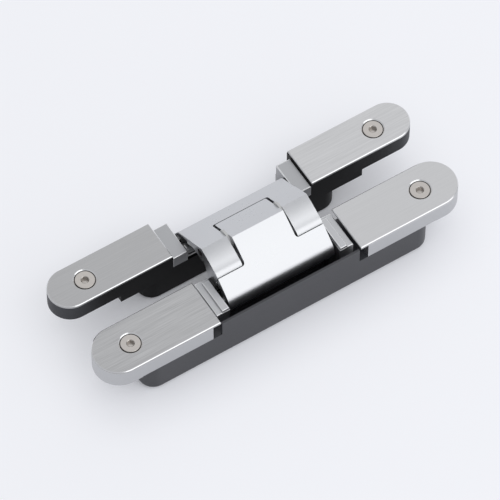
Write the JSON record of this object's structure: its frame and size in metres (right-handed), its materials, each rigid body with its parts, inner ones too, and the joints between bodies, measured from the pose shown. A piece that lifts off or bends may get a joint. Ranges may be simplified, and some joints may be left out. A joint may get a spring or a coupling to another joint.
{
  "type": "concealed invisible door hinge",
  "caption": "Concealed door hinge with two mortised leaves joined by two interleaved arms that cross on a centre pin and slide in guide grooves, opening flat to 180 degrees.",
  "frame": {"origin": "middle of the footprint, on the surface that the housings' bottoms rest on", "axes": "+X along the hinge, +Y towards the frame leaf, +Z out of the leaves' faces"},
  "size_m": [0.18, 0.0588, 0.0388],
  "materials": {
    "black_casting": "satin black coated zinc casting",
    "grey_casting": "satin dark grey coated zinc casting",
    "brushed_plate": "brushed along the length",
    "silver_casting": "satin silver plated zinc",
    "polished_arm": "satin chrome plated",
    "screw_steel": "nickel plated",
    "bright_steel": "ground bright steel",
    "bearing_polymer": "black acetal"
  },
  "bodies": {
    "frame_leaf": {"frame_housing": "black_casting", "frame_cover_left": "brushed_plate", "frame_cover_right": "brushed_plate", "frame_cover_screw_left": "screw_steel", "frame_cover_screw_right": "screw_steel", "frame_bearing_left": "silver_casting", "frame_bearing_right": "silver_casting", "frame_pivot_pin": "bright_steel", "frame_pivot_spacer_left": "bright_steel", "frame_pivot_spacer_right": "bright_steel"},
    "frame_arm": {"frame_arm": "polished_arm", "frame_arm_slide_pin": "bright_steel", "frame_arm_bush_left": "bearing_polymer", "frame_arm_bush_right": "bearing_polymer"},
    "door_arm": {"door_arm": "polished_arm", "centre_pin": "bright_steel", "centre_washer_left": "bearing_polymer", "centre_washer_right": "bearing_polymer", "door_arm_slide_pin": "bright_steel", "door_arm_bush_left": "bearing_polymer", "door_arm_bush_right": "bearing_polymer"},
    "door_leaf": {"door_housing": "grey_casting", "door_bearing_left": "silver_casting", "door_bearing_right": "silver_casting", "door_pivot_pin": "bright_steel", "door_pivot_spacer": "bright_steel", "door_pivot_washer_left": "bearing_polymer", "door_pivot_washer_right": "bearing_polymer", "height_clamp_screw_left": "bright_steel", "height_clamp_screw_right": "bright_steel"},
    "door_mounting": {"door_block_left": "silver_casting", "door_block_right": "silver_casting", "door_cover_left": "brushed_plate", "door_cover_right": "brushed_plate", "door_cover_screw_left": "screw_steel", "door_cover_screw_right": "screw_steel"}
  },
  "joints": [
    {"name": "frame_pivot", "type": "hinge", "parent": "frame_leaf", "child": "frame_arm", "pos_m": [0, 0.0121, 0.0215], "axis": [-1, 0, 0], "range_deg": [0, 102.41]},
    {"name": "centre_pivot", "type": "hinge", "parent": "frame_arm", "child": "door_arm", "pos_m": [0, 0.0017, 0.0327], "axis": [1, 0, 0], "range_deg": [0, 24.84]},
    {"name": "door_pivot", "type": "hinge", "parent": "door_arm", "child": "door_leaf", "pos_m": [0, -0.0087, 0.0215], "axis": [-1, 0, 0], "range_deg": [0, 102.43]},
    {"name": "height_slide", "type": "slide", "parent": "door_leaf", "child": "door_mounting", "axis": [1, 0, 0], "range_m": [-0.0015, 0.0015]}
  ],
  "couplings": [
    {"joint": "centre_pivot", "follows": "frame_pivot", "ratio": 0.24236},
    {"joint": "door_pivot", "follows": "frame_pivot", "ratio": 1}
  ]
}
